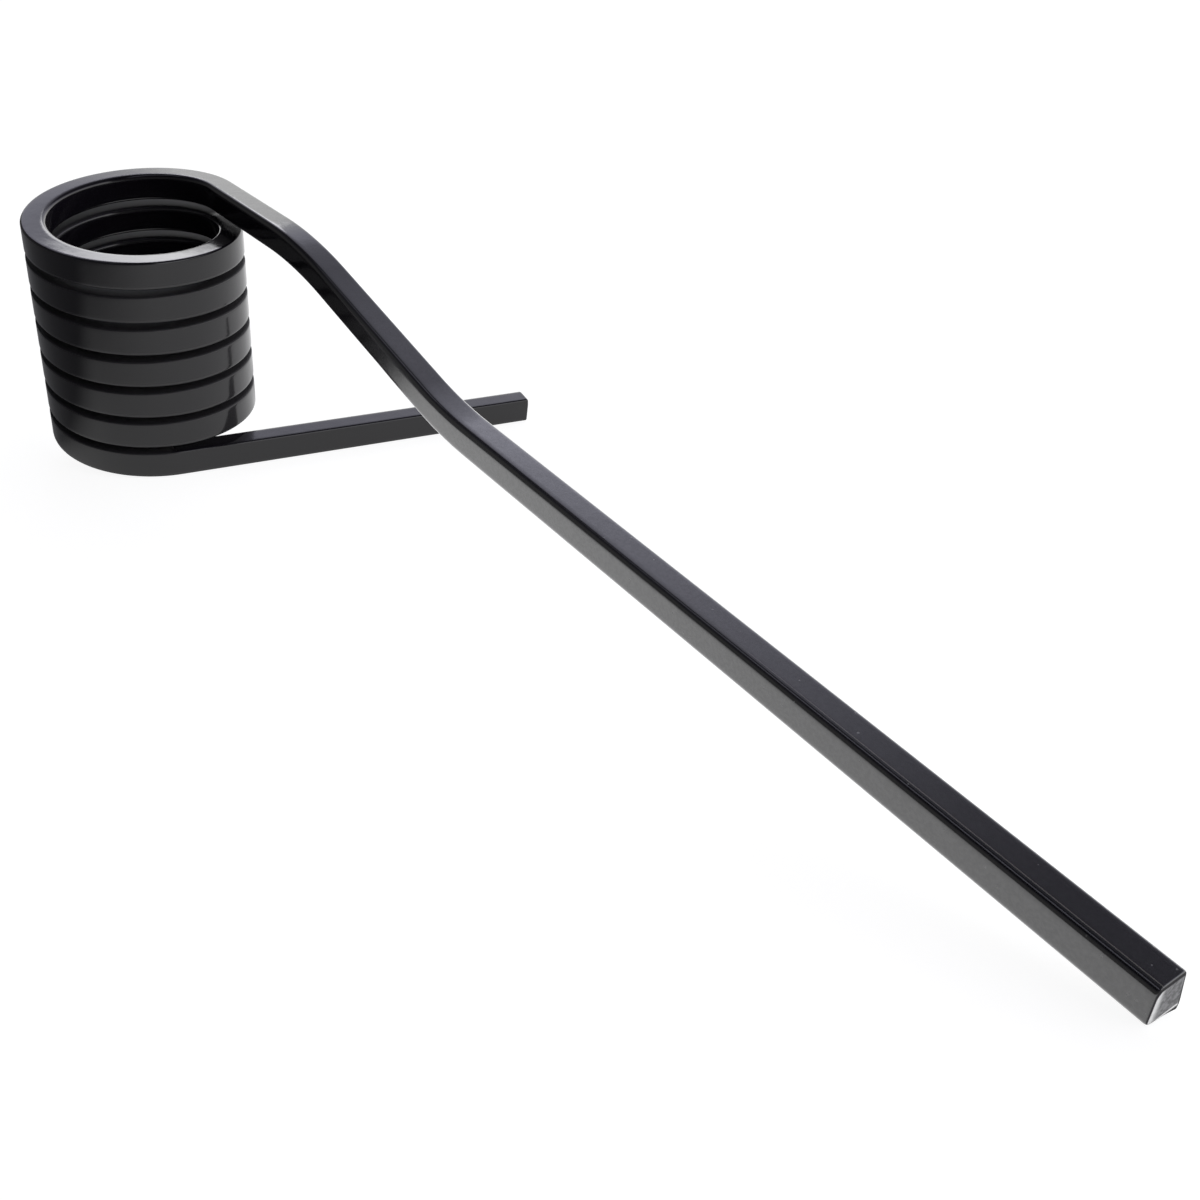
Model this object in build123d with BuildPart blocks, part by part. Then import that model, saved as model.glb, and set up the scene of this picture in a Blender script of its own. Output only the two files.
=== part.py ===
"""Left-hand torsion spring of nearly square wire: an open-wound coil, a short straight leg
at the bottom and a long leg at the top, whose joggle brings it down beside the coil.

The wire is coiled about +Z, with the short leg leaving along +Y. The finished spring is
then laid down as it comes to rest, on the short leg and the tip of the long leg, with the
long leg pointing along +X and the origin at the bottom centre."""
from build123d import *
import os
from math import cos, radians, sin

# Wire, nearly square
wire_width = 11.1  # across the coil, 7/16 inch
wire_height = 12.4  # along its axis
outer_rounding = 1.0  # radius of the corners on the outside of the coil
inner_rounding = 2.4  # and of those on the inside
outer_flats = 2  # flats that make up each rounding, and stay within 0.1 mm of it
inner_flats = 3

# Coil
bore_diameter = 72.6  # size of the mandrel, which presses a narrow flat on the wire
mandrel_flat = 0.15
turn_gap = 3.0  # left open between one turn and the next
whole_turns = 6
leg_angle = 263.0  # part turn beyond the whole turns, between the two legs

# Legs: each run is measured between the corners where its straight lines would meet
short_leg = 177.5
first_run = 84.8
joggle_run = 120.3
long_run = 305.5
joggle_down = 14.3  # bend towards the bottom of the coil
joggle_back = 11.3  # bend back out of the joggle
down_radius = 200.0  # of the first bend, at the middle of the wire
back_radius = 168.0  # of the second

# Sheared ends
end_chamfer = 0.6  # worn edge of the face
break_height = 3.1  # corner that broke away as the shear went through
break_width = 8.9
break_slope = 9.0

half_width = wire_width / 2
half_height = wire_height / 2
pitch = wire_height + turn_gap
turns = whole_turns + leg_angle / 360
coil_height = pitch * turns
wire_radius = bore_diameter / 2 + half_width - mandrel_flat  # axis to middle of the wire


def sheared(leg, tip):
    """Finish the sheared end of leg: ease the edge of its face and take off the corner
    that broke away. tip is the plane of that face, with Z into the wire and X and Y
    towards the two sides of the broken corner."""
    crease_start = tip.from_local_coords((half_width, half_height - break_height))
    crease_end = tip.from_local_coords((half_width - break_width, half_height))
    crease = (crease_end - crease_start).normalized()
    lean = radians(break_slope)
    broken_normal = crease.cross(tip.z_dir) * sin(lean) - tip.z_dir * cos(lean)
    with BuildPart() as cut_leg:
        add(leg)
        end_face = cut_leg.faces().sort_by_distance(tip.origin)[0]
        chamfer(end_face.edges(), end_chamfer)
        split(bisect_by=Plane(crease_start, x_dir=crease, z_dir=broken_normal), keep=Keep.BOTTOM)
    return cut_leg.part


# Section of the wire, with the outside of the coil along +X
outer_edge = half_width - outer_rounding  # where the flats above and below begin
inner_edge = inner_rounding - half_width
with BuildSketch() as section:
    with Locations((outer_edge, 0)):
        with GridLocations(0, wire_height - 2 * outer_rounding, 1, 2):
            RegularPolygon(outer_rounding, 4 * outer_flats)
    with Locations((inner_edge, 0)):
        with GridLocations(0, wire_height - 2 * inner_rounding, 1, 2):
            RegularPolygon(inner_rounding, 4 * inner_flats)
    make_hull()

# Coil, wound upwards from the short leg
with BuildPart() as coil:
    with BuildLine() as winding:
        helix = Helix(pitch, coil_height, wire_radius, lefthand=True)
    outward_at_top = Vector(1, 0, 0).rotate(Axis.Z, -360 * turns)
    bottom_section = Plane(helix @ 0, x_dir=(1, 0, 0), z_dir=helix % 0)
    top_section = Plane(helix @ 1, x_dir=outward_at_top, z_dir=helix % 1)
    with BuildSketch(bottom_section):
        add(section)
    sweep(path=winding.line, is_frenet=True)

# Short leg, straight on from the bottom of the coil
with BuildPart() as short:
    with BuildSketch(bottom_section):
        add(section)
    extrude(amount=-short_leg)
short_end = bottom_section.offset(-short_leg)

# Long leg, in the plane that touches the coil where the leg leaves it: X along the first
# run, Y towards the bottom of the coil
down = radians(joggle_down)
onward = radians(joggle_down - joggle_back)
second_corner = (first_run + joggle_run * cos(down), joggle_run * sin(down))
leg_tip = (second_corner[0] + long_run * cos(onward), second_corner[1] + long_run * sin(onward))
with BuildPart() as long:
    with BuildLine(Plane(helix @ 1, x_dir=helix % 1, z_dir=outward_at_top)) as route:
        FilletPolyline(
            (0, 0), (first_run, 0), second_corner, leg_tip, radius=(down_radius, back_radius)
        )
    with BuildSketch(top_section):
        add(section)
    sweep(path=route.line)
last_edge = route.edges().sort_by_distance(helix @ 1)[-1]
long_end = Plane(last_edge @ 1, x_dir=outward_at_top, z_dir=-(last_edge % 1))

# One piece, sized inside by the mandrel
with BuildPart() as spring:
    add(coil)
    add(sheared(short.part, short_end))
    add(sheared(long.part, long_end))
    with Locations((0, 0, coil_height / 2)):
        Cylinder(bore_diameter / 2, coil_height + 4 * wire_height, mode=Mode.SUBTRACT)

# Surface it rests on: under the outer edge of the flat below the short leg, all along it,
# and the inner edge of that flat at the tip of the long leg
short_corner = short_end.from_local_coords((outer_edge, -half_height, 0))
long_corner = long_end.from_local_coords((inner_edge, half_height, end_chamfer))
upright = (long_corner - short_corner).cross(-short_end.z_dir).normalized()
across = upright.cross(last_edge % 1)
seat = Plane(short_corner, x_dir=across.cross(upright), z_dir=upright)
laid_down = seat.to_local_coords(spring.part)
extent = laid_down.bounding_box()
with BuildPart() as torsion_spring:
    with Locations((-extent.center().X, -extent.center().Y, -extent.min.Z)):
        add(laid_down)

torsion_spring.part.label = "torsion_spring"
os.makedirs("parts", exist_ok=True)
export_step(torsion_spring.part, "parts/torsion_spring.step")
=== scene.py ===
"""Torsion spring of nearly square wire with a glossy black coat, lying on a white floor.
Lengths are in millimetres until a mesh, a lamp or the camera is made from them."""
from math import hypot, pi, radians, tan

import bpy
import numpy as np
from mathutils import Matrix, Vector


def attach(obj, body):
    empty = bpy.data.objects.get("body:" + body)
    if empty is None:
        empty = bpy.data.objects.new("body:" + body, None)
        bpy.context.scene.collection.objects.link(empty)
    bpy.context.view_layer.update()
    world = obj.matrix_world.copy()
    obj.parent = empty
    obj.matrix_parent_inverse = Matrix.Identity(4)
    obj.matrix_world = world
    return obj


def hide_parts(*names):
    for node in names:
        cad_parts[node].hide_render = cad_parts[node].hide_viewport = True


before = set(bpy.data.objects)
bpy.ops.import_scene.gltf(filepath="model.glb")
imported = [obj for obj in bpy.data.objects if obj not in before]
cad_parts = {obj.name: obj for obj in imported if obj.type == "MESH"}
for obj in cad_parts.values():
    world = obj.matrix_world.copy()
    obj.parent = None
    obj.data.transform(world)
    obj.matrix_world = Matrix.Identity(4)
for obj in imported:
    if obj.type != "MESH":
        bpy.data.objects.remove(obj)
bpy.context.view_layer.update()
MM = 0.001  # of a metre

# ---------------------------------------------------------------- sizes of the spring
half_width = 5.55  # of the wire, across the coil
# The CAD wire is 6.2 here, with corners made of flats. At that height the true rounds of
# this one would reach 0.04 past the top of the CAD box at rest, so it is less tall.
half_height = 6.178
outer_rounding = 1.0  # of the corners on the outside of the coil
inner_rounding = 2.4  # and of those on the inside
bore_radius = 36.3
mandrel_flat = 0.15  # depth of the narrow flat that the mandrel presses on the wire
pitch = 15.4
turns = 6 + 263 / 360
short_leg = 177.5
first_run = 84.8  # runs of the long leg, between the corners where their lines would meet
joggle_run = 120.3
long_run = 305.5
joggle_down = radians(14.3)  # bend towards the bottom of the coil
joggle_back = radians(11.3)  # bend back out of the joggle
down_radius = 200.0  # of the first bend, at the middle of the wire
back_radius = 168.0  # of the second
end_rounding = 0.8  # of the edge round a sheared face
break_height = 3.1  # corner that broke away as the shear went through
break_width = 8.9
break_slope = radians(9)
shear_lean = 1.3  # how far the outer bottom corner of the long leg's face stands forward
end_reach = 6.0  # length of wire over which rows of points make room for an end's shape

wire_radius = bore_radius + half_width - mandrel_flat  # axis to middle of the wire
wire_per_radian = hypot(wire_radius, pitch / (2 * pi))
one_turn = 2 * pi * wire_per_radian
coil_wire = one_turn * turns

# pieces of the long leg: length, lean at the start and turn over the piece
down_tangent = down_radius * tan(joggle_down / 2)
back_tangent = back_radius * tan(joggle_back / 2)
leg_pieces = np.array([
    (first_run - down_tangent, 0, 0),
    (down_radius * joggle_down, 0, joggle_down),
    (joggle_run - down_tangent - back_tangent, joggle_down, 0),
    (back_radius * joggle_back, joggle_down, -joggle_back),
    (long_run - back_tangent, joggle_down - joggle_back, 0),
])
long_tip = coil_wire + leg_pieces[:, 0].sum()


# ---------------------------------------------------------------- shape of the wire
def unit(vectors):
    """Each vector divided by its own length."""
    return vectors / np.linalg.norm(vectors, axis=-1, keepdims=True)


def wire_line(distance):
    """Middle of the wire and its onward, outward and upward directions, at distances
    measured from the start of the coil: negative on the short leg, beyond coil_wire on
    the long leg.

    On the coil the middle goes round at wire_radius, clockwise seen from above, and
    rises evenly. Each leg runs on from its end of the coil along the tangent. In the
    joggle the tangent leans down evenly over each bend, so a piece of length l carries
    on by l times the cosine of its mean lean, shortened as a chord is against its arc."""
    on_coil = np.clip(distance, 0, coil_wire)
    beyond = distance - on_coil
    angle = on_coil / wire_per_radian
    level = np.zeros_like(angle)
    rise = level + pitch / (2 * pi)
    outward = np.stack([np.cos(angle), -np.sin(angle), level], -1)
    clockwise = np.stack([-np.sin(angle), -np.cos(angle), level], -1)
    climb = np.stack([level, level, rise], -1)
    onward = unit(wire_radius * clockwise + climb)
    upward = np.cross(onward, outward)
    middle = wire_radius * outward + climb * angle[:, None]

    length, lean, turn = leg_pieces.T
    start = np.cumsum(length) - length
    reached = np.clip(beyond[:, None] - start, 0, length)
    reached[:, 0] = np.minimum(beyond, length[0])
    turned = turn * reached / length
    chord = reached * np.sinc(turned / (2 * pi))
    forward = (chord * np.cos(lean + turned / 2)).sum(1)[:, None]
    drop = (chord * np.sin(lean + turned / 2)).sum(1)[:, None]
    leaning = turned.sum(1)[:, None]
    middle = middle + onward * forward - upward * drop
    ahead = onward * np.cos(leaning) - upward * np.sin(leaning)
    above = upward * np.cos(leaning) + onward * np.sin(leaning)
    return middle, ahead, outward, above


def wire_section(inset, scale, corner_steps=7, side_steps=8):
    """Rectangle with rounded corners, one row of points for each inset and scale.

    A corner is a quarter circle about a centre that keeps its place. Its radius is
    outer_rounding or inner_rounding less the inset, but never below nothing. A side goes
    straight from one corner to the next. All of it is multiplied by the scale."""
    around = np.linspace(0, pi / 2, corner_steps + 1)
    signs = np.array([(1, 1), (-1, 1), (-1, -1), (1, -1)])
    rounding = np.where(signs[:, 0] > 0, outer_rounding, inner_rounding)
    centre = signs * (np.array([half_width, half_height]) - rounding[:, None])
    angle = around + np.arange(len(signs))[:, None] * pi / 2
    radius = np.maximum(rounding - inset[:, None], 0)[..., None, None]
    arc = np.stack([np.cos(angle), np.sin(angle)], -1)
    corners = centre[:, None] + radius * arc
    start, end = corners[:, :, -1:], np.roll(corners[:, :, :1], -1, axis=1)
    share = np.linspace(0, 1, side_steps + 1)[1:-1, None]
    sides = start + (end - start) * share
    loop = np.concatenate([corners, sides], 2).reshape(len(inset), -1, 2)
    return loop * scale[:, None, None]


def past_crease(across, up):
    """Distance beyond the crease of a sheared end, negative on the side that did not
    break away: the dot product with the normal of the crease."""
    crease = np.array([-break_width, break_height])
    normal = np.array([crease[1], -crease[0]]) / np.linalg.norm(crease)
    return (across - half_width) * normal[0] + (up - half_height + break_height) * normal[1]


def broken_depth(across, up):
    """How far back the broken corner lies: a slope that starts at the crease."""
    return np.maximum(past_crease(across, up), 0) * tan(break_slope)


def leaning_ahead(across, up):
    """How far the long leg's face stands ahead of square: shear_lean times the share of
    the way down it, times the square of the share of the way from the inner side to the
    outer one."""
    sideways = (across / half_width + 1) / 2
    down = np.clip(1 - up / (half_height - end_rounding), 0, 2) / 2
    return shear_lean * sideways ** 2 * down


def end_rows(face_steps=18, rounding_steps=6):
    """Scale, inset and set-back of the rows from the middle of a sheared face to where
    its rounding meets the side of the wire. The face grows evenly in scale; over the
    quarter circle the inset is end_rounding times one less the sine, and the set-back
    end_rounding times one less the cosine."""
    scale = np.linspace(0, 1, face_steps + 1)[1:]
    lean = np.linspace(0, pi / 2, rounding_steps + 1)[1:]
    inset = np.concatenate([scale * 0 + end_rounding, end_rounding * (1 - np.sin(lean))])
    back = np.concatenate([scale * 0, end_rounding * (1 - np.cos(lean))])
    return np.concatenate([scale, lean * 0 + 1]), inset, back


def spring_rows():
    """Distances along the wire, scales and insets of all the rows of the surface. From
    one mark to the next the rows are evenly spaced, and each end has those of end_rows."""
    scale, inset, back = end_rows()
    end_stretch = 8.0
    end_step, leg_step, bend_step = 0.5, 3.0, 1.0
    coil_step = radians(3) * wire_per_radian
    bends = coil_wire + np.cumsum(leg_pieces[:, 0])[:-1]
    marks = [
        end_rounding - short_leg, end_stretch - short_leg, 0,
        coil_wire, *bends, long_tip - end_stretch, long_tip - end_rounding,
    ]
    steps = [
        end_step, leg_step, coil_step,
        leg_step, bend_step, leg_step, bend_step, leg_step, end_step,
    ]
    body = np.concatenate([
        np.linspace(low, high, round((high - low) / step) + 1)[1:]
        for low, high, step in zip(marks, marks[1:], steps)
    ])[:-1]
    whole = np.ones_like(body)
    return (
        np.concatenate([back - short_leg, body, (long_tip - back)[::-1]]),
        np.concatenate([scale, whole, scale[::-1]]),
        np.concatenate([inset, whole * 0, inset[::-1]]),
    )


def laid_down(points):
    """The spring turned from its winding axis to the way it comes to rest: on the outer
    edge of the flat below the short leg and the inner edge of that flat at the long leg's
    tip, with the long leg along X, and moved so that its box stands on the middle of the
    floor."""
    ends = np.array([-short_leg, long_tip - end_rounding])
    middle, ahead, outward, above = wire_line(ends)
    edge = np.array([half_width - outer_rounding, inner_rounding - half_width])
    short_corner, long_corner = middle + outward * edge[:, None] - above * half_height
    upright = unit(np.cross(long_corner - short_corner, -ahead[0]))
    along = unit(np.cross(np.cross(upright, ahead[1]), upright))
    turned = (points - short_corner) @ np.stack([along, np.cross(upright, along), upright], 1)
    low, high = turned.min(0), turned.max(0)
    return turned - [(low[0] + high[0]) / 2, (low[1] + high[1]) / 2, low[2]]


def spring_points():
    """The whole surface as rows of points, with a pole in the middle of each end face,
    and the traits of each point that the coat goes by.

    A point is the middle of the wire, plus its place in the section along the outward and
    upward directions. At each end the broken corner pushes points back into the wire, and
    the lean of the long leg's face brings them forward, less and less over end_reach, so
    rows close up but never cross. Points inside the bore are moved out to the mandrel.

    Three of the traits are the place along the wire and in its section. The others are the
    distance beyond the crease, and 1 on an end face, less over its rounded edge."""
    distance, scale, inset = spring_rows()
    section = wire_section(inset, scale)
    across, up = section[..., 0], section[..., 1]
    from_short = (distance + short_leg)[:, None]
    from_long = (long_tip - distance)[:, None]
    pushed = broken_depth(across, up) * np.maximum(1 - from_short / end_reach, 0)
    at_tip = leaning_ahead(across, up) - broken_depth(across, -up)
    pushed = pushed + at_tip * np.maximum(1 - from_long / end_reach, 0)
    middle, ahead, outward, above = (v[:, None] for v in wire_line(distance))
    surface = (
        middle + ahead * pushed[..., None] + outward * across[..., None] + above * up[..., None]
    )
    poles = wire_line(np.array([-short_leg, long_tip + leaning_ahead(0, 0)]))[0]
    points = np.concatenate([surface.reshape(-1, 3), poles])
    from_axis = np.hypot(points[:, 0], points[:, 1])
    points[:, :2] *= np.maximum(bore_radius / from_axis, 1)[:, None]

    # the corner broke away at the top of the short leg's end and the bottom of the long's
    upturned = np.where((distance > coil_wire)[:, None], -up, up)
    columns = section.shape[1]
    traits = {
        "along_wire": np.append(np.repeat(distance, columns), [-short_leg, long_tip]),
        "across_wire": np.append(across, [0, 0]),
        "up_wire": np.append(up, [0, 0]),
        "past_crease": np.append(past_crease(across, upturned), past_crease(0, np.zeros(2))),
        "sheared_face": np.append(np.repeat(inset / end_rounding, columns), [1, 1]),
    }
    return laid_down(points), surface.shape[:2], traits


def lattice_faces(rows, columns):
    """Four corners of each face of a tube of rows of points, and the triangles that
    close its two ends on the poles, which come after the last row."""
    corner = np.arange(rows * columns).reshape(rows, columns)
    beside = np.roll(corner, -1, axis=1)
    first_pole = np.full(columns, rows * columns)
    sides = np.stack([corner[:-1], beside[:-1], beside[1:], corner[1:]], -1)
    start = np.stack([beside[0], corner[0], first_pole], -1)
    end = np.stack([corner[-1], beside[-1], first_pole + 1], -1)
    return sides.reshape(-1, 4).tolist() + start.tolist() + end.tolist()


def new_mesh(name, points, faces):
    """Object at the origin with a smooth mesh, whose points are in metres."""
    mesh = bpy.data.meshes.new(name)
    mesh.from_pydata(points.tolist(), [], faces)
    mesh.polygons.foreach_set("use_smooth", np.ones(len(mesh.polygons), bool))
    mesh.update()
    piece = bpy.data.objects.new(name, mesh)
    bpy.context.scene.collection.objects.link(piece)
    return piece


def make_spring():
    """The spring's surface, with each trait as an attribute of its points."""
    points, (rows, columns), traits = spring_points()
    piece = new_mesh("square_wire_spring", points * MM, lattice_faces(rows, columns))
    for name, values in traits.items():
        made = piece.data.attributes.new(name, "FLOAT", "POINT")
        made.data.foreach_set("value", values.astype(np.float32))
    return piece


# ---------------------------------------------------------------- finishes
coat_black = (0.0075, 0.0065, 0.0095)
# painted highlight on the lower outer corner of the coil's turns
coat_lower_edge_highlight = (0.03, 0.029, 0.032)
# painted highlight on the upper inner edge of the long leg
coat_ridge_highlight = (0.14, 0.13, 0.12)
coat_pitted = (0.16, 0.16, 0.16)
steel_torn = (0.02, 0.02, 0.022)
steel_dark = (0.20, 0.20, 0.205)
steel_light = (0.36, 0.36, 0.37)
steel_polished = (0.95, 0.95, 0.95)
paper_grey = (0.3, 0.3, 0.3)
sky_white = (1, 1, 1)
sky_cool = (0.97, 0.97, 1.15)


class Nodes:
    """Emptied node tree of a material or a world, and short ways to fill it. A value is
    a number, a colour or what another node puts out."""

    def __init__(self, owner):
        owner.use_nodes = True
        self.tree = owner.node_tree
        self.tree.nodes.clear()

    def add(self, kind, inputs=None, **settings):
        """A node with its settings, and with values in its inputs by name or number. A
        colour is given its opacity of 1."""
        made = self.tree.nodes.new(kind)
        for name, value in settings.items():
            setattr(made, name, value)
        for name, value in (inputs or {}).items():
            if isinstance(value, bpy.types.NodeSocket):
                self.tree.links.new(value, made.inputs[name])
            elif isinstance(value, tuple):
                made.inputs[name].default_value = (*value, 1)
            else:
                made.inputs[name].default_value = value
        return made

    def maths(self, operation, *values):
        """One operation on one or two values, or on more of them taken one after another."""
        inputs = dict(enumerate(values[:2]))
        result = self.add("ShaderNodeMath", inputs, operation=operation).outputs[0]
        return self.maths(operation, result, *values[2:]) if values[2:] else result

    def fade(self, value, begins, ends, first=0.0, last=1.0):
        """Smooth step from first to last, as the value goes from begins to ends."""
        inputs = {
            "Value": value, "From Min": begins, "From Max": ends, "To Min": first, "To Max": last,
        }
        made = self.add("ShaderNodeMapRange", inputs, interpolation_type="SMOOTHSTEP")
        return made.outputs[0]

    def line(self, value, middle, edge, core):
        """Soft line: 1 where the value is within core of the middle, 0 beyond edge."""
        away = self.maths("ABSOLUTE", self.maths("SUBTRACT", value, middle))
        return self.fade(away, edge, core)

    def blend(self, share, first, second):
        """Colour that goes from first to second as the share goes from 0 to 1."""
        inputs = {0: share, 6: first, 7: second}  # 6 and 7 are the node's two colours
        return self.add("ShaderNodeMix", inputs, data_type="RGBA").outputs[2]

    def noise(self, place, scale, detail):
        """Soft patches, about scale of them to the metre, and detail layers of finer ones."""
        inputs = {"Vector": place, "Scale": scale, "Detail": detail}
        return self.add("ShaderNodeTexNoise", inputs).outputs["Fac"]

    def trait(self, name):
        """What make_spring gave each point under this name."""
        return self.add("ShaderNodeAttribute", attribute_name=name).outputs["Fac"]


def bare_steel(nodes, across, up, face):
    """1 where a sheared end shows its steel: on the face and, towards the inside of the
    coil, on the start of its rounded edge. The coat laps on to the face by lap along the
    outside and the top. Along the inside it laps by corner less corner_radius, and turns
    round to the top with that radius. soft is half the width of its fading edge."""
    lap, corner, corner_radius, soft = 1.0, 3.4, 2.75, 0.15
    from_edges = nodes.maths(
        "MINIMUM", nodes.maths("SUBTRACT", half_width, across),
        nodes.maths("SUBTRACT", half_height, up),
    )
    inwards = nodes.maths("SUBTRACT", corner - half_width, across)
    upwards = nodes.maths("SUBTRACT", up, half_height - corner)
    squares = [
        nodes.maths("POWER", nodes.maths("MAXIMUM", way, 0.0), 2.0) for way in (inwards, upwards)
    ]
    from_corner = nodes.maths("SQRT", nodes.maths("ADD", *squares))
    worn_edge = nodes.maths(
        "MULTIPLY", nodes.fade(face, 0.30, 0.75),
        nodes.fade(across, -0.55 * half_width, -0.85 * half_width),
    )
    return nodes.maths(
        "MULTIPLY", nodes.fade(from_edges, lap - soft, lap + soft),
        nodes.fade(from_corner, corner_radius + soft, corner_radius - soft),
        nodes.maths("MAXIMUM", nodes.fade(face, 0.80, 1.0), worn_edge),
    )


def sheared_steel(nodes, across, crease, grain):
    """Streaked steel, dark where it tore beyond the crease, and polished along the crease
    and towards the inside of the coil."""
    colour = nodes.blend(nodes.fade(grain, 0.35, 0.65), steel_dark, steel_light)
    colour = nodes.blend(nodes.fade(crease, 0.4, 0.8), colour, steel_torn)
    polished = nodes.maths(
        "MAXIMUM", nodes.line(crease, 0.0, edge=0.6, core=0.2),
        nodes.fade(across, -0.30 * half_width, -0.78 * half_width),
    )
    return nodes.blend(polished, colour, steel_polished)


def painted_ridge_highlight(nodes, along, across, up):
    """Painted highlight: a fine light line where the inner corner of the long leg meets its top,
    standing in for a lamp mirrored there. It comes out little by little on the way to the tip."""
    starts, full = 190.0, 70.0  # from the tip
    return nodes.maths(
        "MULTIPLY", nodes.line(across, inner_rounding - half_width, edge=0.24, core=0.12),
        nodes.fade(up, half_height - 0.3, half_height - 0.1),
        nodes.fade(along, long_tip - starts, long_tip - full),
    )


def painted_lower_edge_highlight(nodes, along, across, up):
    """Painted highlight: a light line on the outside of the wire, just above its lower corner,
    standing in for the bright floor that the rounded corner mirrors. It gives out at the end of
    the coil."""
    from_bottom, gives_out = 1.1, 20.0
    return nodes.maths(
        "MULTIPLY", nodes.line(up, from_bottom - half_height, edge=0.45, core=0.15),
        nodes.fade(across, half_width - 0.5, half_width - 0.2),
        nodes.fade(along, coil_wire, coil_wire - gives_out),
    )


def between_turns(nodes, along, up):
    """1 on the top and the bottom of the wire, all round the coil but for its last turn."""
    run_out = 8.0
    return nodes.maths(
        "MULTIPLY", nodes.fade(nodes.maths("ABSOLUTE", up), half_height - 0.9, half_height - 0.3),
        nodes.fade(along, coil_wire - one_turn, coil_wire - one_turn - run_out),
        nodes.fade(along, 0.0, run_out),
    )


def black_coat():
    """Glossy black coat over the wire, and bare steel on its sheared ends.

    The coat is wavy. On the long leg it grows thick, mottled by its peel, and is then
    pitted, with a painted highlight line on the upper edge near the tip. On the coil it is
    dull between the turns and has a painted highlight line near their lower edge."""
    thin, thick = 60.0, 200.0  # distances along the long leg
    pits_start, pits_full = 250.0, 330.0
    glossy, duller = 0.12, 0.6  # roughness, and how much is added where it is dull
    peel_height, grain_height, pit_depth = 0.1, 0.5, 1.5  # against the waves' height of 1
    metallic = 0.6  # where the steel is bare

    material = bpy.data.materials.new("black_coat")
    nodes = Nodes(material)
    place = nodes.add("ShaderNodeTexCoord").outputs["Object"]
    along, across, up = (nodes.trait(way + "_wire") for way in ("along", "across", "up"))
    face, crease = nodes.trait("sheared_face"), nodes.trait("past_crease")
    waves = nodes.noise(place, scale=140.0, detail=2.0)
    peel = nodes.noise(place, scale=900.0, detail=1.0)
    grain = nodes.noise(place, scale=900.0, detail=4.0)
    pits = nodes.add("ShaderNodeTexVoronoi", {"Vector": place, "Scale": 200.0})
    pitted = nodes.maths(
        "MULTIPLY", nodes.fade(pits.outputs["Distance"], 0.09, 0.05),
        nodes.fade(along, coil_wire + pits_start, coil_wire + pits_full),
    )
    bare = bare_steel(nodes, across, up, face)

    # painted highlight line on the long leg's upper inner edge
    colour = nodes.blend(painted_ridge_highlight(nodes, along, across, up), coat_black, coat_ridge_highlight)
    # painted highlight line just above the lower outer corner of each turn
    colour = nodes.blend(painted_lower_edge_highlight(nodes, along, across, up), colour, coat_lower_edge_highlight)
    colour = nodes.blend(pitted, colour, coat_pitted)
    colour = nodes.blend(bare, colour, sheared_steel(nodes, across, crease, grain))

    height = nodes.maths(
        "ADD", waves, nodes.maths("MULTIPLY", peel, peel_height),
        nodes.maths("MULTIPLY", grain, bare, grain_height),
        nodes.maths("MULTIPLY", pitted, -pit_depth),
    )
    bump = nodes.add("ShaderNodeBump", {"Height": height, "Strength": 0.10, "Distance": 0.0006})

    thick_coat = nodes.maths(
        "MULTIPLY", nodes.fade(along, coil_wire + thin, coil_wire + thick),
        nodes.fade(peel, 0.30, 0.70, first=0.86), nodes.fade(face, 0.4, 0.05),
    )
    dull = nodes.maths("MAXIMUM", nodes.fade(face, 0.05, 0.4), between_turns(nodes, along, up))
    shader = nodes.add("ShaderNodeBsdfPrincipled", {
        "Base Color": colour,
        "Metallic": nodes.maths("MULTIPLY", bare, metallic),
        "Roughness": nodes.maths("ADD", nodes.maths("MULTIPLY", dull, duller), glossy),
        "IOR": 1.5,
        "Normal": bump.outputs["Normal"],
        "Coat Weight": thick_coat,
        "Coat Roughness": 0.20,
        "Coat IOR": 1.78,
    })
    nodes.add("ShaderNodeOutputMaterial", {"Surface": shader.outputs[0]})
    return material


def floor_paper():
    """White floor. Most of its brightness to the camera is its own, and the rest is light
    that falls on it, so a soft shadow stays. The spring mirrors it, but dimmer in front
    and on the left. Distances are in metres."""
    own_light = 0.90
    left_limit, left_width, left_share = -0.31, 0.065, 0.04
    slant = 0.35  # how far left that limit moves, for each metre back
    front_limit, front_width, front_share = -0.33, 0.27, 0.08
    back_width = 0.1  # behind the middle, over which the left comes up to full brightness

    material = bpy.data.materials.new("floor_paper")
    nodes = Nodes(material)
    place = nodes.add("ShaderNodeTexCoord").outputs["Object"]
    spot = nodes.add("ShaderNodeSeparateXYZ", {0: place})
    x, y = spot.outputs["X"], spot.outputs["Y"]
    rightwards = nodes.maths("ADD", x, nodes.maths("MULTIPLY", y, slant))
    from_left = nodes.fade(rightwards, left_limit, left_limit + left_width, first=left_share)
    from_front = nodes.fade(y, front_limit, front_limit + front_width, first=front_share)
    behind = nodes.fade(y, 0.0, back_width)
    path = nodes.add("ShaderNodeLightPath")
    mirrored = nodes.maths(
        "MULTIPLY", path.outputs["Is Glossy Ray"],
        nodes.maths("MAXIMUM", from_left, behind), from_front,
    )
    seen = nodes.maths(
        "MAXIMUM", path.outputs["Is Camera Ray"], mirrored, path.outputs["Is Transmission Ray"]
    )
    lit = nodes.add("ShaderNodeBsdfDiffuse", {"Color": paper_grey})
    glow = nodes.add("ShaderNodeEmission", {"Strength": nodes.maths("MULTIPLY", seen, own_light)})
    both = nodes.add("ShaderNodeAddShader", {0: lit.outputs[0], 1: glow.outputs[0]})
    nodes.add("ShaderNodeOutputMaterial", {"Surface": both.outputs[0]})
    return material


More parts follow.
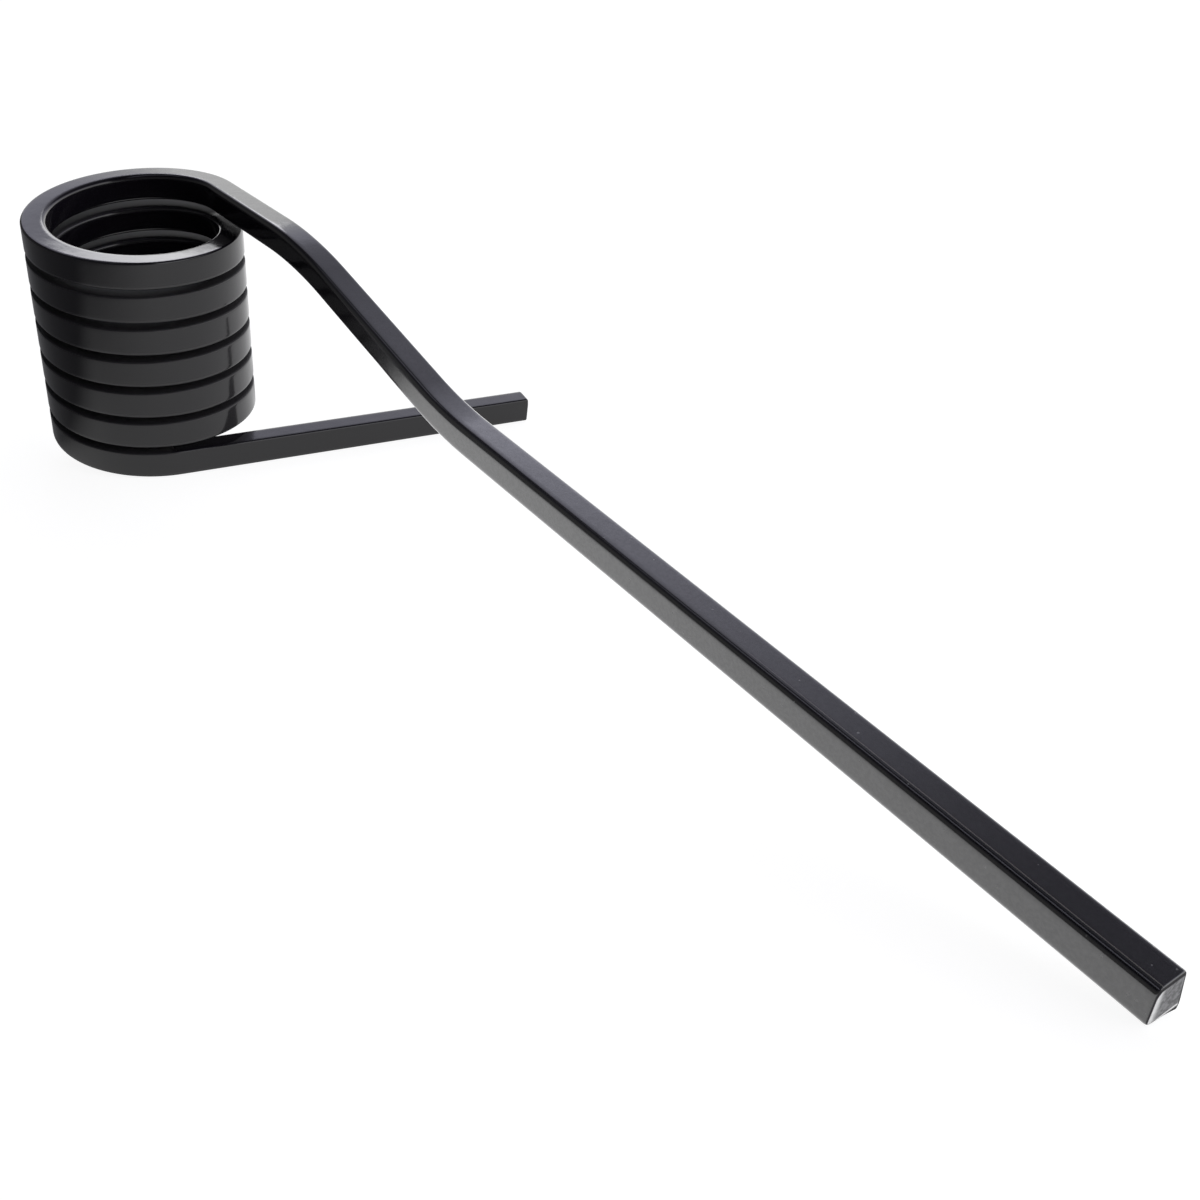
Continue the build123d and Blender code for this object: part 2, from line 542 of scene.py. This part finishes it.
# ---------------------------------------------------------------- studio
def studio_world():
    """Light from all round, and plain white to the camera. x, y and z are the parts of
    the way towards the light: right, back and up.

    The light is brightest from behind, up to about 40 degrees above the floor, and
    dimmer and a little cooler above that, least of all on the right. Little comes from
    the front, apart from a narrow strip high up."""
    lowest, low, high_right, high_left, strip = 1.9, 1.2, 0.10, 0.60, 0.6  # strengths
    front_share = 0.08
    low_up_to, high_from = 0.62, 0.72

    world = bpy.data.worlds.new("studio")
    bpy.context.scene.world = world
    nodes = Nodes(world)
    direction = nodes.add("ShaderNodeTexCoord").outputs["Generated"]
    toward = nodes.add("ShaderNodeSeparateXYZ", {0: direction})
    x, y, z = (toward.outputs[axis] for axis in "XYZ")
    seen = nodes.add("ShaderNodeLightPath").outputs["Is Camera Ray"]

    low_sky = nodes.maths(
        "MULTIPLY", nodes.fade(z, 0.42, 0.60, first=lowest, last=low),
        nodes.fade(z, high_from, low_up_to),
    )
    high_sky = nodes.maths(
        "MULTIPLY", nodes.fade(x, -0.17, -0.52, first=high_right, last=high_left),
        nodes.fade(z, low_up_to, high_from),
    )
    # faded twice, which makes the step steeper
    behind = nodes.fade(nodes.fade(y, -0.10, 0.15), 0.0, 1.0, first=front_share)
    sky = nodes.maths("MULTIPLY", nodes.maths("ADD", low_sky, high_sky), behind)
    front_strip = nodes.maths(
        "MULTIPLY", nodes.fade(y, -0.20, -0.26), nodes.fade(y, -0.42, -0.36),
        nodes.fade(z, 0.80, 0.86, last=strip),
    )
    cool = nodes.maths("MULTIPLY", nodes.fade(z, 0.45, 0.65), nodes.maths("SUBTRACT", 1.0, seen))
    glow = nodes.add("ShaderNodeBackground", {
        "Color": nodes.blend(cool, sky_white, sky_cool),
        "Strength": nodes.maths("MAXIMUM", sky, front_strip, seen),
    })
    nodes.add("ShaderNodeOutputWorld", {"Surface": glow.outputs[0]})


def soft_lamp(name, place, aim, size, turned, watts):
    """Rectangular lamp that faces its aim, turned clockwise as seen from behind it."""
    lamp = bpy.data.lights.new(name, "AREA")
    lamp.shape = "RECTANGLE"
    lamp.size, lamp.size_y = (side * MM for side in size)
    lamp.energy = watts
    made = bpy.data.objects.new(name, lamp)
    made.location = Vector(place) * MM
    facing = (Vector(aim) - Vector(place)).to_track_quat("-Z", "Y").to_matrix()
    made.rotation_euler = (facing @ Matrix.Rotation(-turned, 3, "Z")).to_euler()
    bpy.context.scene.collection.objects.link(made)


def camera_at_rest():
    """Camera beside the long leg, looking down and across to the coil."""
    place = (409.648, -283.598, 221.425)
    looks_down, heading, roll = radians(20.409), radians(53.863), radians(0.428)
    camera = bpy.data.cameras.new("camera")
    camera.lens, camera.sensor_width = 42.711, 36.0
    camera.shift_x, camera.shift_y = 0.0266, -0.0898
    camera.clip_start, camera.clip_end = 0.01, 50  # metres
    made = bpy.data.objects.new("camera", camera)
    made.matrix_world = (
        Matrix.Translation(Vector(place) * MM)
        @ Matrix.Rotation(heading, 4, "Z")
        @ Matrix.Rotation(pi / 2 - looks_down, 4, "X")
        @ Matrix.Rotation(roll, 4, "Z")
    )
    bpy.context.scene.collection.objects.link(made)
    bpy.context.scene.camera = made


def floor():
    """Flat square about the origin, which reaches equally far each way."""
    reach = 20.0  # metres
    corners = np.array([(-1, -1, 0), (1, -1, 0), (1, 1, 0), (-1, 1, 0)]) * reach
    made = new_mesh("floor", corners, [(0, 1, 2, 3)])
    made.data.materials.append(floor_paper())
    return made


bpy.context.scene.view_settings.view_transform = "Standard"
camera_at_rest()
studio_world()
soft_lamp(
    "lamp_behind_coil", place=(-1329, 363, 980), aim=(-190, -90, 113), size=(190, 290),
    turned=radians(22), watts=0.53,
)
floor()

spring = make_spring()
spring.data.materials.append(black_coat())
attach(spring, "root")
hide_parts("torsion_spring")
